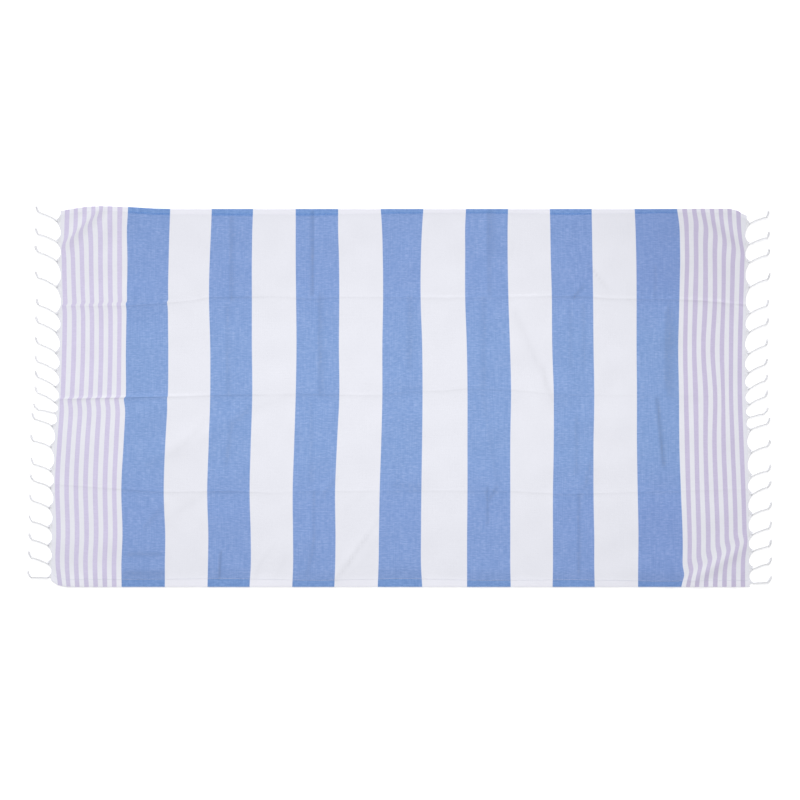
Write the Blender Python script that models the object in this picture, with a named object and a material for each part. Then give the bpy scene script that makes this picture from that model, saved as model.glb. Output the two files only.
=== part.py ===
"""A beach towel: one flat-woven cotton cloth with a fringe of knotted tassels at each end.

The towel lies on the plane z = 0, as if spread out on the ground. X runs along its length, Y across
it and Z up, and the origin is under the middle of the whole towel, fringes included. Places and
sizes below are in millimetres, and the meshes are in metres.
"""

import bmesh
import bpy
import numpy as np

MM = 0.001

# The cloth, and the two long sides that are turned in and stitched down.
CLOTH_THICKNESS = 1.5
HEM_THICKNESS = 2.6
TOP_HEM = 13.0
BOTTOM_HEM = 17.0
SEAM_STEP = 4.0
ROWS_IN_A_HEM = 2

# How the towel lies: five lines along it, as (x, y) points. The three inner ones are the creases
# left by folding it in four, so they stand about a quarter of the width apart.
BOTTOM_SIDE = ((-925, -503), (923, -503))
LOWER_CREASE = ((-910, -232), (-745, -243), (-620, -251), (760, -251), (911, -246))
MIDDLE_CREASE = ((-910, -7), (-560, -2), (-264, 3), (66, 16), (264, 2), (911, 0))
UPPER_CREASE = ((-900, 240), (-667, 244), (-560, 256), (-450, 259), (760, 259), (911, 243))
TOP_SIDE = (
    (-900, 494),
    (-840, 501),
    (-779, 504),
    (-718, 502),
    (-660, 499),
    (-580, 496),
    (840, 496),
    (882, 493),
    (915, 487),
)
LINES = (BOTTOM_SIDE, LOWER_CREASE, MIDDLE_CREASE, UPPER_CREASE, TOP_SIDE)

# The two ends, as (y, x) points at the bottom of the scallops between the tassels. Both ends lean
# to the left as they come down.
LEFT_END = (
    (-473, -925),
    (-428, -924),
    (-327, -920),
    (-275, -918),
    (-103, -915),
    (-37, -911),
    (16, -903),
    (200, -903),
    (253, -900),
    (480, -900),
)
RIGHT_END = (
    (-503, 923),
    (-380, 921),
    (-275, 919),
    (-118, 917),
    (-37, 914),
    (16, 911),
    (109, 911),
    (253, 913),
    (427, 910.5),
    (470, 915),
)
MIDDLE_OF_LEFT_END = -911
MIDDLE_OF_RIGHT_END = 914

# How far each corner is drawn in, as (row, column, along x, along y).
CORNERS = (
    (0, 0, 8, 10),
    (0, -1, -2, 2),
    (-1, 0, 1, -6),
    (-1, -1, -4, -3),
)

# The grid of points that the cloth is laid out on.
COLUMNS = 64
ROWS_IN_A_QUARTER = 9

# The creases and the wrinkles stand up as soft ridges. Each wrinkle is a straight stretch.
CREASE_HEIGHT = 2.5
CREASE_REACH = 16.0
WRINKLES = (
    # from x, from y, to x, to y, height, reach
    (-787, 502, -861, 412, 3.5, 30),
    (792, 491, 903, 359, 3.5, 32),
    (766, -499, 903, -420, 3.5, 32),
    (-900, -490, -770, -478, 2.0, 26),
    (304, 253, 401, -11, 2.5, 28),
    (-166, -486, -58, -354, 2.5, 28),
    (-620, -156, -396, -24, 2.5, 30),
    (507, 338, 549, 280, 2.0, 26),
    (507, -156, 483, -248, 2.0, 26),
    (700, 227, 700, 135, 2.5, 28),
    (684, -24, 684, -169, 2.5, 28),
    (-232, -288, -232, -433, 2.0, 26),
)
LIE_FLAT_AT_ENDS = 60.0

# The fringe is a comb: a narrow band of loose warp along the end of the cloth, and the tassels.
SEAT_GAP = 0.3
BAND_DEPTH = 3.0
LEFT_BAND = (-484, 479)
RIGHT_BAND = (-500, 467)

# Each tassel: y of its root, how far its knot lies above the root, how far the knot reaches out,
# how far the loose end beyond the knot leans outwards, and half the width of its root.
LEFT_TASSELS = (
    # y, rise, reach, lean, half root
    (461, 23, 55, 4, 15),
    (405, 23, 57, 3, 15),
    (356, 23, 56, 5, 15),
    (288, 25, 57, 4, 15),
    (217, 26, 56, 4, 15),
    (168, 26, 55, 4, 15),
    (114, 25, 55, 4, 15),
    (67, 24, 54, 4, 15),
    (25, 25, 55, 4, 15),
    (-16, 24, 52, 4, 15),
    (-44, 9, 45, 10, 4),
    (-80, 18, 53, 4, 15),
    (-136, 17, 54, 4, 15),
    (-200, 18, 54, 4, 15),
    (-243, 19, 54, 5, 15),
    (-297, 18, 53, 5, 15),
    (-351, 19, 51, 5, 15),
    (-398, 17, 50, 4, 15),
    (-446, 18, 50, 4, 15),
    (-477, 0, 48, 7, 4),
)
RIGHT_TASSELS = (
    # y, rise, reach, lean, half root
    (454, 18, 57, 2, 15),
    (399, 18, 58, 2, 15),
    (353, 18, 58, 3, 15),
    (287, 18, 58, 3, 15),
    (215, 23, 58, 2, 15),
    (165, 27, 57, 2, 15),
    (109, 25, 55, 2, 15),
    (59, 24, 54, 4, 15),
    (17, 25, 53, 3, 15),
    (-28, 27, 54, 3, 15),
    (-55, 8, 48, 9, 4),
    (-91, 17, 56, 4, 15),
    (-149, 16, 56, 5, 15),
    (-214, 16, 57, 5, 15),
    (-260, 17, 57, 5, 15),
    (-315, 17, 56, 4, 15),
    (-368, 18, 56, 3, 15),
    (-413, 18, 57, 2, 15),
    (-461, 20, 56, 3, 15),
    (-492, 2, 53, 7, 4),
)

# The sections of a tassel from its root to its knot, as shares of its reach and its rise. The first
# lies inside the band. A section's half width is its share of the tassel's half root, but never less
# than the width given.
TASSEL_SECTIONS = (
    # share out, share up, share of root, half width, height
    (-0.03, 0.00, 1.00, 0.0, 1.2),
    (0.07, 0.07, 0.48, 2.4, 1.8),
    (0.19, 0.26, 0.00, 2.3, 2.6),
    (0.50, 0.62, 0.00, 1.9, 3.2),
    (0.86, 0.92, 0.00, 2.0, 3.4),
    (1.00, 1.00, 0.00, 3.0, 4.8),
)
SECTIONS_ALONG_THE_EDGE = 2
LOOSE_END_RISE = 14.0
LOOSE_END_HALF_WIDTH = 2.2
LOOSE_END_HEIGHT = 3.6

# One section across a tassel, as shares of its half width and its height. It sits flat below.
SECTION_ACROSS = (-0.7, -1.0, -0.6, 0.6, 1.0, 0.7)
SECTION_UP = (0.0, 0.45, 1.0, 1.0, 0.45, 0.0)


def clear_scene():
    """Remove whatever the scene starts with."""
    for item in list(bpy.data.objects):
        bpy.data.objects.remove(item, do_unlink=True)


def make_material(name, colour, roughness):
    """Return a plain finish: a Principled surface of one colour."""
    material = bpy.data.materials.new(name)
    material.use_nodes = True
    surface = material.node_tree.nodes["Principled BSDF"]
    surface.inputs["Base Color"].default_value = (*colour, 1.0)
    surface.inputs["Roughness"].default_value = roughness
    surface.inputs["Metallic"].default_value = 0.0
    return material


def make_object(name, points, faces, material):
    """Return an object of these points in millimetres, with every face turned outwards."""
    mesh = bpy.data.meshes.new(name)
    mesh.from_pydata((np.asarray(points) * MM).tolist(), [], faces)
    work = bmesh.new()
    work.from_mesh(mesh)
    bmesh.ops.recalc_face_normals(work, faces=work.faces)
    work.to_mesh(mesh)
    work.free()
    mesh.materials.append(material)
    item = bpy.data.objects.new(name, mesh)
    bpy.context.scene.collection.objects.link(item)
    return item


def read_line(line, places):
    """Return the height of a line of points at these places, straight between its points."""
    along, height = np.transpose(line)
    return np.interp(places, along, height)


def sheet(x, y, under, top):
    """Return the points and faces of a closed sheet between two surfaces on one grid of points."""
    rows, columns = x.shape
    layers = [np.stack((x, y, z), axis=-1).reshape(-1, 3) for z in (under, top)]
    index = np.arange(rows * columns).reshape(rows, columns)
    cells = np.stack((index[:-1, :-1], index[:-1, 1:], index[1:, 1:], index[1:, :-1]), axis=-1)
    cells = cells.reshape(-1, 4)
    rim = np.concatenate((index[0, :-1], index[:-1, -1], index[-1, :0:-1], index[:0:-1, 0]))
    after = np.roll(rim, -1)
    up = rows * columns
    walls = np.stack((rim, after, after + up, rim + up), axis=-1)
    faces = np.concatenate((cells[:, ::-1], cells + up, walls))
    return np.concatenate(layers), faces.tolist()


def end_of_cloth(end, y):
    """Return the X of the last weft at these heights, a band's depth inside the scallops."""
    inwards = np.sign(-end[0][1]) * BAND_DEPTH
    return read_line(end, y) + inwards


def cloth_plan():
    """Return the X and Y of the cloth's grid, and the Y of its three creases at each column.

    Rows follow the five lines. Between two lines they are evenly spaced, and a crease, a seam or a
    side has a row on itself and one where its ridge or its step ends.
    """
    share = np.linspace(0.0, 1.0, COLUMNS)
    along = MIDDLE_OF_LEFT_END + (MIDDLE_OF_RIGHT_END - MIDDLE_OF_LEFT_END) * share
    lines = [read_line(line, along) for line in LINES]
    clear = [CREASE_REACH] * len(lines)
    clear[0] = BOTTOM_HEM + SEAM_STEP
    clear[-1] = TOP_HEM + SEAM_STEP
    rows = [lines[0], lines[0] + BOTTOM_HEM]
    for k in range(len(lines) - 1):
        first = lines[k] + clear[k]
        last = lines[k + 1] - clear[k + 1]
        rows.extend(np.linspace(first, last, ROWS_IN_A_QUARTER))
        rows.append(lines[k + 1])
    rows.insert(-1, lines[-1] - TOP_HEM)
    y = np.array(rows)
    left = end_of_cloth(LEFT_END, y)
    right = end_of_cloth(RIGHT_END, y)
    x = left + (right - left) * share
    for row, column, across, up in CORNERS:
        x[row, column] += across
        y[row, column] += up
    return x, y, lines[1:-1]


def ridge(distance, reach):
    """Return a soft hump: one on its own line, falling as a cosine to nothing at its reach."""
    near = np.clip(np.abs(distance) / reach, 0.0, 1.0)
    return 0.5 + 0.5 * np.cos(np.pi * near)


def distance_to_stretch(x, y, start, stop):
    """Return how far each point lies from the straight stretch between two places."""
    run = np.subtract(stop, start)
    share = ((x - start[0]) * run[0] + (y - start[1]) * run[1]) / (run @ run)
    share = np.clip(share, 0.0, 1.0)
    return np.hypot(x - start[0] - share * run[0], y - start[1] - share * run[1])


def cloth_lift(x, y, creases):
    """Return how far the cloth stands off the ground, on its creases and its wrinkles."""
    lift = np.zeros_like(x)
    for crease in creases:
        lift = np.maximum(lift, CREASE_HEIGHT * ridge(y - crease, CREASE_REACH))
    for x0, y0, x1, y1, height, reach in WRINKLES:
        distance = distance_to_stretch(x, y, (x0, y0), (x1, y1))
        lift = np.maximum(lift, height * ridge(distance, reach))
    from_end = np.minimum(x - x[:, :1], x[:, -1:] - x)
    return lift * np.clip(from_end / LIE_FLAT_AT_ENDS, 0.0, 1.0)


def make_cloth(material):
    """Build the woven cloth: a thin sheet on its creases, thicker where its sides are turned in.

    It returns the Y of the grid, whose first and last columns the fringes are fitted to.
    """
    x, y, creases = cloth_plan()
    under = cloth_lift(x, y, creases)
    thickness = np.full_like(x, CLOTH_THICKNESS)
    thickness[:ROWS_IN_A_HEM] = HEM_THICKNESS
    thickness[-ROWS_IN_A_HEM:] = HEM_THICKNESS
    points, faces = sheet(x, y, under, under + thickness)
    make_object("cloth", points, faces, material)
    return y


def band(end, reach_of_band, cloth_rows):
    """Return the points and faces of the band of loose warp beside the cloth's end.

    It turns where the rows of the cloth end, so the two keep one narrow gap all the way.
    """
    low, high = reach_of_band
    y = cloth_rows[(cloth_rows > low) & (cloth_rows < high)]
    y = np.concatenate(([low], y, [high]))
    outer = read_line(end, y)
    seat = np.interp(y, cloth_rows, end_of_cloth(end, cloth_rows))
    inner = seat + np.sign(end[0][1]) * SEAT_GAP
    sides = (outer, inner) if end is LEFT_END else (inner, outer)
    x = np.stack(sides, axis=1)
    y = np.stack((y, y), axis=1)
    return sheet(x, y, np.zeros_like(x), np.full_like(x, CLOTH_THICKNESS))


def tassel_rings(outwards, end, tassel):
    """Return the sections of one tassel: gathered warp, twisted cord, knot and loose end.

    The first sections follow the slanting edge that the warp comes out of. The others stand square
    to the middle line.
    """
    root, rise, reach, lean, half_root = tassel
    out, up, of_root, least, heights = np.transpose(TASSEL_SECTIONS)
    middle = np.stack((out * reach, root + up * rise), axis=-1)
    middle = np.concatenate((middle, [(reach + lean, root + rise + LOOSE_END_RISE)]))
    widths = np.append(np.maximum(of_root * half_root, least), LOOSE_END_HALF_WIDTH)
    heights = np.append(heights, LOOSE_END_HEIGHT)
    across = np.gradient(middle, axis=0)[:, ::-1] * (-1, 1)
    across[:SECTIONS_ALONG_THE_EDGE] = (0, 1)
    across /= np.linalg.norm(across, axis=1, keepdims=True)
    step = widths[:, None] * SECTION_ACROSS
    out = middle[:, :1] + across[:, :1] * step
    y = middle[:, 1:] + across[:, 1:] * step
    edge = np.full_like(y, read_line(end, root))
    edge[:SECTIONS_ALONG_THE_EDGE] = read_line(end, y[:SECTIONS_ALONG_THE_EDGE])
    z = heights[:, None] * SECTION_UP
    return np.stack((edge + outwards * out, y, z), axis=-1)


def loft(rings, first_index):
    """Return the faces of a closed skin over rings of points, capped at both ends."""
    count, around = rings.shape[:2]
    index = first_index + np.arange(count * around).reshape(count, around)
    turned = np.roll(index, -1, axis=1)
    skin = np.stack((index[:-1], turned[:-1], turned[1:], index[1:]), axis=-1).reshape(-1, 4)
    return skin.tolist() + [index[0].tolist(), index[-1].tolist()]


def make_fringe(name, end, reach_of_band, tassels, cloth_rows, material):
    """Build one end's fringe: the band of loose warp and its tassels, joined in one comb."""
    points, faces = band(end, reach_of_band, cloth_rows)
    fringe = make_object(name, points, faces, material)
    outwards = np.sign(end[0][1])
    points = []
    faces = []
    for tassel in tassels:
        rings = tassel_rings(outwards, end, tassel)
        faces.extend(loft(rings, len(points)))
        points.extend(rings.reshape(-1, 3))
    loose_tassels = make_object(f"{name}_tassels", points, faces, material)
    loose_tassels.hide_render = True
    loose_tassels.display_type = "WIRE"
    join = fringe.modifiers.new("Join tassels", "BOOLEAN")
    join.operation = "UNION"
    join.object = loose_tassels


def main():
    clear_scene()
    blue_cotton = make_material("blue_cotton", (0.25, 0.37, 0.66), 0.9)
    white_cotton = make_material("white_cotton", (0.80, 0.80, 0.84), 0.9)
    rows = make_cloth(blue_cotton)
    make_fringe("fringe_left", LEFT_END, LEFT_BAND, LEFT_TASSELS, rows[:, 0], white_cotton)
    make_fringe("fringe_right", RIGHT_END, RIGHT_BAND, RIGHT_TASSELS, rows[:, -1], white_cotton)


main()
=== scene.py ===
# %% [markdown]
# # A flat-woven beach towel, laid out flat
#
# This lesson makes a striped cotton towel lie on the floor as a photographer would lay it: one
# length of plain weave, hemmed along its two long sides, with its warp ends twisted and knotted
# into a fringe at each end. The solid model of the towel comes first, as a frame that is never
# moved. Everything made here lies where that frame lies, and all places are in its millimetres.

import bpy
import numpy as np
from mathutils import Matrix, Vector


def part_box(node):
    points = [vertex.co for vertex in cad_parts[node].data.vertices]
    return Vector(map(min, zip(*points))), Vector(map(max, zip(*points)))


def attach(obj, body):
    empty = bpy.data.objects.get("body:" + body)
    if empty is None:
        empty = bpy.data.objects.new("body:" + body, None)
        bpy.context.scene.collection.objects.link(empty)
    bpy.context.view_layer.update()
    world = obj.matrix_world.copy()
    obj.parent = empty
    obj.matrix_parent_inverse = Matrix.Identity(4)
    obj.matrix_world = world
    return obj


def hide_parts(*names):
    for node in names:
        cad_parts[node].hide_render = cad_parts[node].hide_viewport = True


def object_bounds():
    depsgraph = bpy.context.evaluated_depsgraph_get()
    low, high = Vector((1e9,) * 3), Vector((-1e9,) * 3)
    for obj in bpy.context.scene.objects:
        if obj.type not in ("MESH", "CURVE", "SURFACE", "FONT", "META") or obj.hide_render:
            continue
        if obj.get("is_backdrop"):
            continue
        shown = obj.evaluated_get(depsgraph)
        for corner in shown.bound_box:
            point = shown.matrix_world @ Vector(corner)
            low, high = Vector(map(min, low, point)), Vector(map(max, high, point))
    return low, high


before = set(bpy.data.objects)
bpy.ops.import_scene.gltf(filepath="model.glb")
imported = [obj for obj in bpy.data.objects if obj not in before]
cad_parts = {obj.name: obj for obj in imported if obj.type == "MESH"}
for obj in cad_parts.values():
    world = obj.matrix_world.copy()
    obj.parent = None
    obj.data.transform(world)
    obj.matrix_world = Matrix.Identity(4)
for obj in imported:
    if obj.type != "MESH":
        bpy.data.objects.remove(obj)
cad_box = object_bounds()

MM = 0.001
for name in sorted(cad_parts):
    low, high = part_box(name)
    print(name, "is", [round(side / MM) for side in high - low], "mm")

# %% [markdown]
# ## A helper for surfaces
#
# Every piece here is worked out as whole arrays: a grid of points, the four corners of each face,
# and where each corner lies on one or more flat maps. One helper turns such arrays into a mesh, so
# that the cells about the towel only have to say what shape it has.


# %% From arrays to a mesh
def make_piece(name, points, quads, maps, material, shade=None):
    """Make a mesh of points (in mm) and faces of four corners, with a place on each map per corner."""
    mesh = bpy.data.meshes.new(name)
    mesh.vertices.add(len(points))
    mesh.vertices.foreach_set("co", (points * MM).astype(np.float32).ravel())
    mesh.loops.add(quads.size)
    mesh.loops.foreach_set("vertex_index", quads.astype(np.int32).ravel())
    mesh.polygons.add(len(quads))
    mesh.polygons.foreach_set("loop_start", np.arange(0, quads.size, 4, dtype=np.int32))
    mesh.update(calc_edges=True)
    mesh.shade_smooth()
    for label, places in maps.items():
        layer = mesh.uv_layers.new(name=label)
        layer.uv.foreach_set("vector", places.astype(np.float32).ravel())
    if shade is not None:
        held = mesh.attributes.new("shade", "FLOAT", "POINT")
        held.data.foreach_set("value", shade.astype(np.float32).ravel())
    mesh.materials.append(material)
    piece = bpy.data.objects.new(name, mesh)
    bpy.context.scene.collection.objects.link(piece)
    print(name, "has", len(points), "points and", len(quads), "faces")
    return piece


def grid_quads(rows, columns):
    """Corner numbers of the faces of a grid whose points are numbered row by row."""
    number = np.arange(rows * columns).reshape(rows, columns)
    corners = (number[:-1, :-1], number[:-1, 1:], number[1:, 1:], number[1:, :-1])
    return np.stack(corners, axis=-1).reshape(-1, 4)


# %% [markdown]
# ## Curves through a few places
#
# The towel was laid by hand, so nothing on it is quite straight. Each drift and each edge is given
# at a few places, in millimetres, and a smooth curve is drawn through them: the usual cubic one,
# which passes through every value with the slope that its two neighbours give it. Such a curve is
# always a weighted mean of the given values, so it is enough to work out the weights. A table is
# then made smooth both ways by one product of matrices for its rows and one for its columns.


# %% The weights of a smooth curve
def weights(at, places):
    """For each place asked for, how much the value at each given place counts (cubic curves)."""
    at, places = np.asarray(at, float), np.asarray(places, float)
    values = np.eye(len(places))
    slopes = np.gradient(values, places, axis=0)
    before = np.clip(np.searchsorted(places, at) - 1, 0, len(places) - 2)
    gap = (places[before + 1] - places[before])[:, None]
    share = np.clip((at - places[before])[:, None] / gap, 0.0, 1.0)
    rise = share * share * (3 - 2 * share)
    start_bend = share * (1 - share) ** 2 * gap * slopes[before]
    end_bend = share * share * (share - 1) * gap * slopes[before + 1]
    return (1 - rise) * values[before] + rise * values[before + 1] + start_bend + end_bend


# %% [markdown]
# ## How the cloth was woven
#
# The white warp runs the length of the towel and ends in the fringe. The weft runs across it, and
# its colour makes the stripes: seven wide blue ones at an even pitch, and seven narrow lilac ones
# at each end. The pattern is the same from both ends, so it is measured from the middle of the
# fourth blue stripe. A place in the weave is (along, across), as the loom made it, and the next
# cells say where that place ended up on the floor.

# %% The stripes, as woven
WOVEN_MIDDLE = 2.3
BLUE_PITCH = 225.6
BLUE_WIDTH = 110.0
BLUE_STRIPES = 7
LILAC_FIRST = 751.2
LILAC_PITCH = 24.4
LILAC_WIDTH = 12.0
LILAC_STRIPES = 7
LEFT_WOVEN_END = -911.0
RIGHT_WOVEN_END = 919.0
LOWER_EDGE = -503.0
UPPER_EDGE = 500.0
last_lilac = LILAC_FIRST + (LILAC_STRIPES - 1) * LILAC_PITCH
print("the last lilac stripe ends", round(last_lilac + LILAC_WIDTH / 2), "mm from the middle")

# %% [markdown]
# ## How it was laid
#
# A weft thread that was straight on the loom leans and bows on the floor. Each row of the table is
# one weft thread: where it was woven, and then how far it lies to the right of that, in
# millimetres, at eleven heights across the towel. There is a row for each end, for both edges of
# each blue stripe, for three of the lilac stripes near each end, and for both edges of the last.

# %% The drift of the weft threads
HEIGHTS = (-500, -450, -377, -251, -124, 4, 128, 252, 376, 450, 497)
THREADS = (
    (LEFT_WOVEN_END, -11, -10, -9, -4, -2, 9, 11, 14, 14, 14, 14),
    (-902.5, -3, -9, -7, -10, -4, 4, 8, 10, 8, 8, 10),
    (-888.1, -3, -9, -7, -10, -4, 4, 8, 10, 8, 8, 10),
    (-870.9, -5, -9, -7, -10, -4, 4, 9, 10, 7, 7, 8),
    (-822.1, -6, -9, -6, -9, -4, 4, 8, 8, 6, 6, 6),
    (-748.9, -6, -7, -4, -6, -1, 5, 7, 8, 8, 8, 9),
    (-729.5, -6, -7, -4, -7, -1, 5, 5, 7, 9, 8, 11),
    (-619.5, -2, -2, -1, -5, -1, 6, 7, 6, 8, 10, 12),
    (-503.9, -5, -4, -3, -6, -2, 2, 2, -1, 1, 4, 6),
    (-393.9, -4, -1, -1, -4, -1, 3, 2, 2, 2, 3, 5),
    (-278.3, -7, -5, -5, -6, -2, 2, 4, 3, 2, 2, 2),
    (-168.3, -6, -4, -3, -4, 1, 7, 6, 7, 6, 4, 4),
    (-52.7, -7, -5, -4, -2, 2, 5, 5, 7, 6, 4, 1),
    (57.3, 0, -3, -3, -2, 0, 1, 0, -4, -3, 0, 3),
    (172.9, 3, 3, 3, 4, 4, 4, 2, -2, -2, -2, 0),
    (282.9, 8, 7, 7, 7, 7, 9, 6, 2, 0, 0, 1),
    (398.5, 3, 4, 4, 4, 6, 6, 2, 1, -2, -3, -4),
    (508.5, 4, 3, 3, 1, 1, 3, 1, 0, -2, -3, -4),
    (624.1, 3, 3, 4, 2, 0, 0, -1, -1, -2, -4, -6),
    (734.1, 10, 11, 11, 6, 2, 1, -1, 2, 4, 2, -4),
    (753.5, 10, 10, 10, 6, 3, 0, -2, 0, 3, 1, -4),
    (826.7, 11, 11, 11, 6, 2, 4, -3, 3, 3, 3, 3),
    (875.5, 11, 11, 10, 6, 1, -3, -3, -1, 2, 3, 2),
    (893.5, 11, 11, 9, 5, 0, -4, -4, -1, 2, 2, 1),
    (906.3, 11, 11, 9, 5, 0, -4, -4, -1, 2, 2, 1),
    (RIGHT_WOVEN_END, 3, 2, 1, -1, -3, -8, -9, -7, -8, -8, -5),
)

# %% [markdown]
# In three corners, and beside two creases, the cloth is pulled as well. Across a slanting line the
# stripes step sideways, and away from the line they come back, soon or late. The end of the cloth
# holds still, because the tassels lie where they fell.

# %% The pulls
PULLS = (
    # line from x, y, to x, y; shift above and below it; how soft; how far up and down it reaches
    (-806, 476, -881, 411, 6.9, -4.3, 9.0, 260, 32),
    (791, 470, 897, 392, -10.3, 9.6, 40.0, 260, 28),
    (736, -482, 897, -391, 14.2, -8.2, 36.0, 18, 260),
    (-872, -4, -640, -1, 0.0, -5.5, 2.5, 10, 24),
    (-880, 243, -600, 253, 1.0, -2.5, 2.5, 20, 14),
)
PULL_SIDE = 24.0
END_HOLD = 9.0


def step(distance, softness):
    """Go from nothing to one across a line, over about twice the softness."""
    return 0.5 + 0.5 * np.tanh(distance / softness)


def pulled(x, y):
    """The sideways shift near each line: a step across it that fades on both sides."""
    shift = np.zeros_like(x)
    for x0, y0, x1, y1, above, below, softness, up, down in PULLS:
        run = np.array((x1 - x0, y1 - y0), float)
        length = np.hypot(*run)
        run /= length
        up_from_it = np.array((-run[1], run[0])) * np.sign(run[0])
        over = (x - x0) * up_from_it[0] + (y - y0) * up_from_it[1]
        past = (x - x0) * run[0] + (y - y0) * run[1]
        past = np.maximum(-past, past - length).clip(0.0)
        near = np.exp(-((past / PULL_SIDE) ** 2))
        rise = above * step(over, softness) * np.exp(-((over.clip(0.0) / up) ** 2))
        fall = below * step(-over, softness) * np.exp(-((over.clip(None, 0.0) / down) ** 2))
        shift += (rise + fall) * near
    return shift


# %% [markdown]
# The long sides and the creases run along the towel. Each is a line of a few places. The towel was
# stored folded in four lengthwise, so the creases share its width evenly. The seams of the two hems
# lie a hem's width in from the sides, and that width was never quite even. The thread at any other
# place across the weave lies on the smooth curve between those seven lines.

# %% The lines along the towel
LOWER_SIDE = ((-922, -486), (-905, -497), (-885, -501), (-860, -502), (923, -502))
LOWER_CREASE = (
    (-910, -232),
    (-745, -243),
    (-690, -248),
    (-620, -252),
    (-450, -249),
    (-340, -254),
    (-223, -249),
    (115, -248),
    (300, -250),
    (400, -256),
    (453, -257),
    (566, -254),
    (679, -250),
    (911, -246),
)
MIDDLE_CREASE = (
    (-910, -7),
    (-674, -1),
    (-560, 1),
    (-450, 4.5),
    (-340, 6),
    (-225, 5.5),
    (-115, 3),
    (-50, 4),
    (10, 13),
    (115, 15),
    (175, 21),
    (228, 19),
    (300, 17),
    (390, 7),
    (453, 6),
    (566, 3),
    (679, 3),
    (911, 0),
)
UPPER_CREASE = (
    (-900, 238),
    (-720, 240),
    (-627, 246),
    (-540, 255),
    (-507, 261),
    (-340, 264),
    (-300, 262),
    (-223, 257),
    (-170, 263),
    (0, 262),
    (115, 260),
    (228, 262),
    (400, 264),
    (500, 263),
    (550, 258),
    (720, 256),
    (800, 252),
    (911, 241),
)
UPPER_SIDE = (
    (-906, 487),
    (-896, 491.5),
    (-884, 493.5),
    (-863, 497),
    (-842, 500),
    (-820, 502),
    (-790, 502.7),
    (-750, 501.7),
    (-715, 500),
    (-681, 498),
    (-649, 496),
    (-600, 495),
    (700, 495),
    (800, 496),
    (850, 496),
    (871, 496),
    (882, 495),
    (893, 492.5),
    (903, 489),
    (912, 481),
    (919, 470),
)
HEM_WIDTHS = (
    # along, width of the lower hem, width of the upper hem
    (-900, 19, 12),
    (-674, 20, 14),
    (-449, 22, 15),
    (-223, 17, 15),
    (2, 22, 11),
    (228, 17, 10),
    (453, 19, 14),
    (679, 15, 10),
    (900, 17, 11),
)
LOWER_HEM = 19.0
UPPER_HEM = 12.0
FOLDS = (-251.0, 3.0, 254.0)
LINES_ACROSS = (LOWER_EDGE, LOWER_EDGE + LOWER_HEM, *FOLDS, UPPER_EDGE - UPPER_HEM, UPPER_EDGE)


def lay_out(along, across):
    """Where the crossings of those weft and warp threads lie on the floor, as two grids."""
    threads = np.array(THREADS, float)
    drift = weights(across, HEIGHTS) @ threads[:, 1:].T @ weights(along, threads[:, 0]).T
    x = along + drift
    lines = []
    for line in (LOWER_SIDE, LOWER_CREASE, MIDDLE_CREASE, UPPER_CREASE, UPPER_SIDE):
        lines.append(np.interp(x, *np.array(line, float).T))
    places, lower, upper = np.array(HEM_WIDTHS, float).T
    lines.insert(1, lines[0] + np.interp(x, places, lower))
    lines.insert(-1, lines[-1] - np.interp(x, places, upper))
    y = np.einsum("rl,lrc->rc", weights(across, LINES_ACROSS), np.array(lines))
    from_end = np.minimum(along - along[0], along[-1] - along)
    return x + pulled(x, y) * np.clip(from_end / END_HOLD, 0.0, 1.0), y


# %% [markdown]
# ## Creases and wrinkles
#
# Cotton that was folded keeps a sharp ridge along each fold, and laying it out leaves softer folds.
# They are low, two or three millimetres, but in slanting light they are what says cloth. A crease
# is a ridge with a sharp top that falls away exponentially, and how high it stands changes along
# the towel. A soft fold is a hump with a round top along a short line, which fades at both ends.

# %% The relief of the cloth
CREASE_ALONG = (-900, -780, -670, -560, -450, -330, -225, 0, 230, 455, 680, 800, 915)
CREASE_HEIGHTS = (
    # across, then the height of the ridge at each of those places along the towel
    (-251, 0.4, 0.5, 0.6, 0.4, 0.7, 0.2, 0.3, 0.3, 0.3, 0.4, 0.3, 0.3, 0.2),
    (3, 0.8, 1.4, 1.4, 0.5, 0.6, 0.2, 0.3, 0.3, 0.2, 0.2, 0.2, 0.2, 0.2),
    (254, 0.5, 0.6, 0.7, 0.4, 0.4, 0.2, 0.4, 0.4, 0.3, 0.3, 0.4, 0.5, 0.5),
)
CREASE_REACH = 4.0
SOFT_FOLDS = (
    # from x, y, to x, y, height, reach
    (-787, 498, -892, 398, 3.0, 13),
    (-745, 500, -800, 400, 1.2, 16),
    (795, 490, 908, 400, 3.0, 16),
    (770, 494, 858, 330, 1.4, 18),
    (762, -492, 907, -400, 2.4, 14),
    (-900, -490, -770, -478, 1.2, 20),
    (304, 253, 401, -11, 1.6, 22),
    (-166, -486, -58, -354, 1.5, 22),
    (-620, -156, -396, -24, 1.8, 26),
    (507, 338, 549, 280, 1.2, 20),
    (507, -156, 483, -248, 1.4, 20),
    (700, 227, 700, 135, 1.8, 20),
    (684, -24, 684, -169, 1.8, 20),
    (-232, -288, -232, -433, 1.3, 18),
    (-450, -40, -452, 200, 0.8, 16),
    (230, 482, 228, 370, 1.0, 14),
    (451, 478, 451, 412, 1.0, 12),
    (-475, -412, -482, -476, 1.5, 5),
)
WAVES = 40
WAVE_LENGTHS = (70.0, 260.0)
WAVE_HEIGHT = 0.08
FOLD_END_HEIGHT = 0.35
SEED = 11
chance = np.random.default_rng(SEED)


def crease_ridges(along, across):
    """Ridges with sharp tops along the three creases: height times e to minus distance over reach."""
    lift = np.zeros((len(across), len(along)))
    for place, *heights in CREASE_HEIGHTS:
        height = np.interp(along, CREASE_ALONG, heights)
        away = np.abs(across - place)
        lift += np.exp(-away / CREASE_REACH)[:, None] * height
    return lift


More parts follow.
